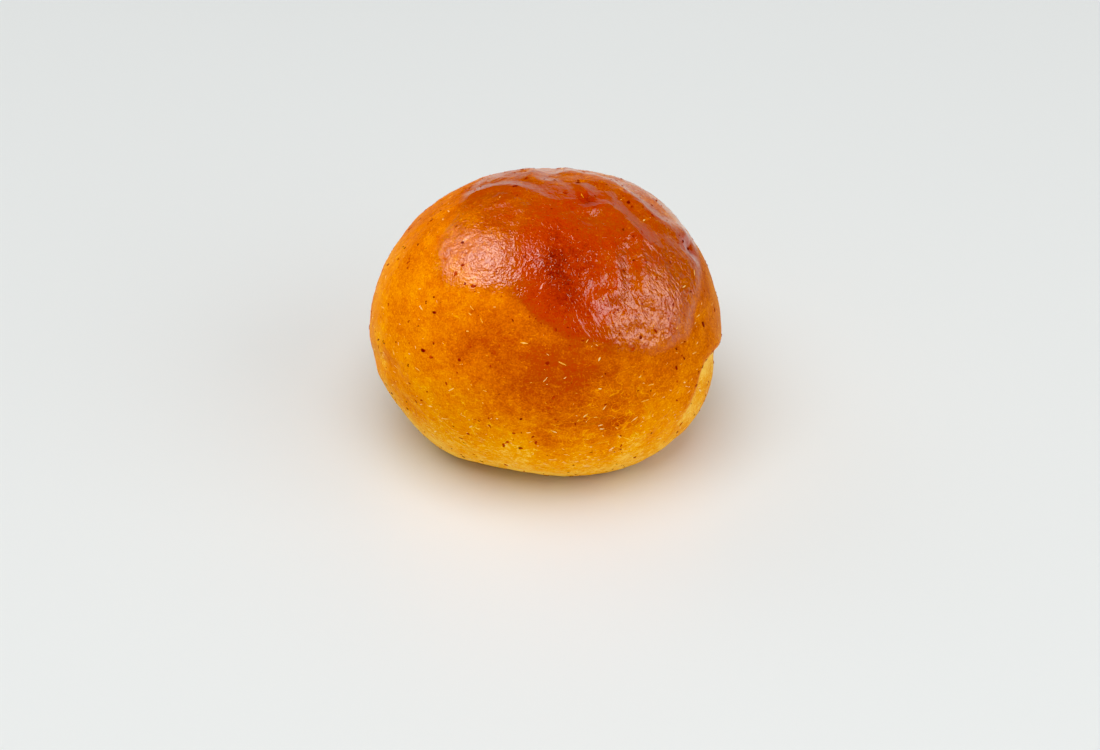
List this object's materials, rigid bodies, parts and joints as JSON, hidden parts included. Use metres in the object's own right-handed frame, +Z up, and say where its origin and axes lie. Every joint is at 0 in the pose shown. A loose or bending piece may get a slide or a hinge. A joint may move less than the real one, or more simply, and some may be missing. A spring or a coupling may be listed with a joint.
{
  "type": "bread roll",
  "caption": "Round bread roll with a glossy browned domed crown, paler lower sides, soft skin folds and a flat base to rest on.",
  "frame": {"origin": "centre of the box's lowest face, where the roll's flat foot stands", "axes": "+Z up through the crown, +X to the right and -Y towards the front, as the roll is seen in a front view"},
  "size_m": [0.09, 0.088, 0.066],
  "materials": {
    "crust": "satin"
  },
  "bodies": {
    "root": {"roll": "crust"}
  },
  "joints": []
}
